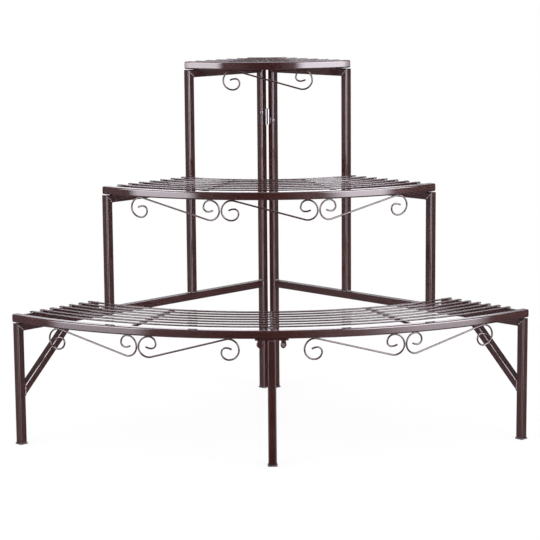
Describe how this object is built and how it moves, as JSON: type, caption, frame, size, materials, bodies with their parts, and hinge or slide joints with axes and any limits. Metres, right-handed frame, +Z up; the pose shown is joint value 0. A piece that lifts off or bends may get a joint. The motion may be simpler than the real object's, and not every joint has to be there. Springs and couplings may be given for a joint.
{
  "type": "corner plant stand",
  "caption": "Quarter-round stepped plant stand for a corner: two hinged side frames of square tube carry loose slatted shelves with bent rims and wire scrolls.",
  "frame": {"origin": "centre of the overall box, at floor level", "axes": "+X to the viewer's right, -Y towards the curved front, +Y to the corner of the room, +Z up"},
  "size_m": [1.0226, 0.699, 0.7377],
  "materials": {
    "enamel": "glossy dark red-brown enamel",
    "black_plastic": "satin black moulded plastic",
    "bare_steel": "dull zinc-plated steel"
  },
  "bodies": {
    "left_frame": {"left_rear_post": "enamel", "left_top_post": "enamel", "left_middle_post": "enamel", "left_front_leg": "enamel", "left_top_rail": "enamel", "left_middle_rail": "enamel", "left_bottom_rail": "enamel", "left_brace": "enamel", "left_rear_foot": "black_plastic", "left_front_foot": "black_plastic", "left_hinge_knuckles": "enamel"},
    "right_frame": {"right_rear_post": "enamel", "right_top_post": "enamel", "right_middle_post": "enamel", "right_front_leg": "enamel", "right_top_rail": "enamel", "right_middle_rail": "enamel", "right_bottom_rail": "enamel", "right_brace": "enamel", "right_rear_foot": "black_plastic", "right_front_foot": "black_plastic", "right_hinge_knuckles": "enamel", "hinge_pins": "bare_steel"},
    "bottom_shelf": {"bottom_rim": "enamel", "bottom_rim_plugs": "black_plastic", "bottom_slats": "enamel", "bottom_ribs": "enamel", "bottom_left_end_bar": "enamel", "bottom_right_end_bar": "enamel", "bottom_left_outer_scroll": "enamel", "bottom_left_inner_scroll": "enamel", "bottom_right_inner_scroll": "enamel", "bottom_right_outer_scroll": "enamel", "centre_leg": "enamel", "centre_leg_plate": "enamel", "centre_leg_foot": "black_plastic", "leg_weld_nuts": "bare_steel"},
    "middle_shelf": {"middle_rim": "enamel", "middle_rim_plugs": "black_plastic", "middle_slats": "enamel", "middle_ribs": "enamel", "middle_left_end_bar": "enamel", "middle_right_end_bar": "enamel", "middle_left_scroll": "enamel", "middle_centre_scroll": "enamel", "middle_right_scroll": "enamel"},
    "top_shelf": {"top_rim": "enamel", "top_rim_plugs": "black_plastic", "top_slats": "enamel", "top_rib": "enamel", "top_left_end_bar": "enamel", "top_right_end_bar": "enamel", "top_scroll": "enamel"},
    "left_bolt": {"left_wing_bolt": "bare_steel"},
    "right_bolt": {"right_wing_bolt": "bare_steel"}
  },
  "joints": [
    {"name": "frame_fold", "type": "hinge", "parent": "left_frame", "child": "right_frame", "pos_m": [0, 0.32632, 0.4], "axis": [0, 0, -1], "range_deg": [0, 90]},
    {"name": "bottom_shelf_lift", "type": "slide", "parent": "left_frame", "child": "bottom_shelf", "axis": [0, -0.2, 0.9798], "range_m": [0, 0.9]},
    {"name": "middle_shelf_lift", "type": "slide", "parent": "left_frame", "child": "middle_shelf", "axis": [0, -0.2, 0.9798], "range_m": [0, 0.9]},
    {"name": "top_shelf_lift", "type": "slide", "parent": "left_frame", "child": "top_shelf", "axis": [0, -0.2, 0.9798], "range_m": [0, 0.9]},
    {"name": "left_bolt_turn", "type": "hinge", "parent": "bottom_shelf", "child": "left_bolt", "pos_m": [-0.02225, -0.34002, 0.24], "axis": [0, 0, 1], "continuous": true},
    {"name": "right_bolt_turn", "type": "hinge", "parent": "bottom_shelf", "child": "right_bolt", "pos_m": [0.02225, -0.34002, 0.24], "axis": [0, 0, 1], "continuous": true}
  ],
  "couplings": [
    {"joint": "bottom_shelf_lift", "follows": "frame_fold", "m_per_rad": 0.57},
    {"joint": "middle_shelf_lift", "follows": "frame_fold", "m_per_rad": 0.57},
    {"joint": "top_shelf_lift", "follows": "frame_fold", "m_per_rad": 0.57}
  ]
}
